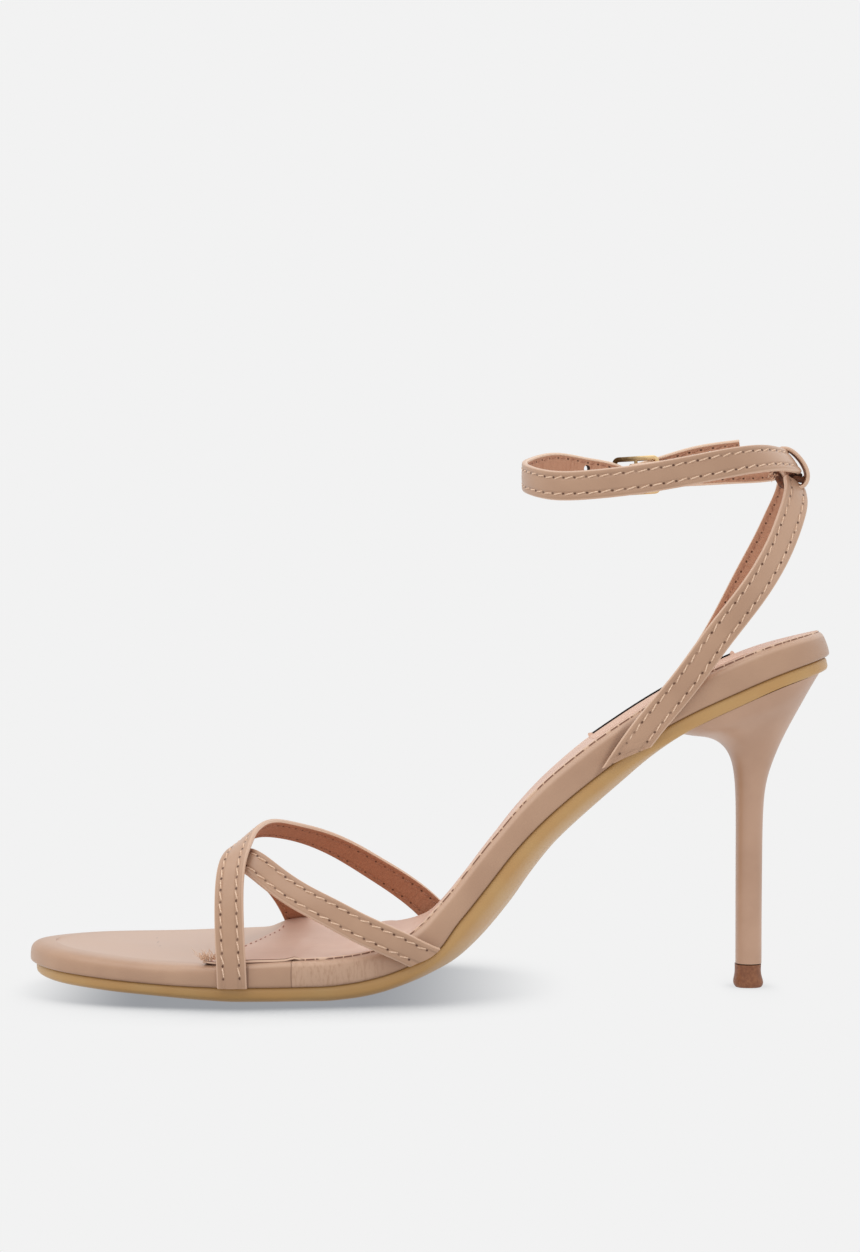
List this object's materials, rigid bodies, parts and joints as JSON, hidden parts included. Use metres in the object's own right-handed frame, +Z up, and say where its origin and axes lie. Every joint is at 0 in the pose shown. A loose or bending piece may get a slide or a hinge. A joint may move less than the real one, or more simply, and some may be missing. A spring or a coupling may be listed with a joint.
{
  "type": "ankle strap sandal",
  "caption": "Open-toe sandal on a slim high heel, with crossed forefoot straps, slingback straps and a buckled ankle strap that hold the foot on a padded footbed.",
  "frame": {"origin": "on the floor under the middle of the shoe's bounding box", "axes": "-X towards the toe, +X towards the heel, -Y towards the inner side of the foot, +Y towards the outer side, +Z up"},
  "size_m": [0.2158, 0.0816, 0.1493],
  "materials": {
    "outsole": "satin",
    "footbed": "satin",
    "insole_sock": "soft satin",
    "heel": "satin",
    "heel_tip": "satin",
    "vamp_straps": "satin",
    "slingback": "satin",
    "ankle_strap": "satin",
    "buckle_frame": "polished",
    "buckle_prong": "polished"
  },
  "bodies": {
    "root": {"outsole": "outsole", "footbed": "footbed", "insole_sock": "insole_sock", "heel": "heel", "heel_tip": "heel_tip", "vamp_straps": "vamp_straps", "slingback": "slingback", "ankle_strap": "ankle_strap", "buckle_frame": "buckle_frame", "buckle_prong": "buckle_prong"}
  },
  "joints": []
}
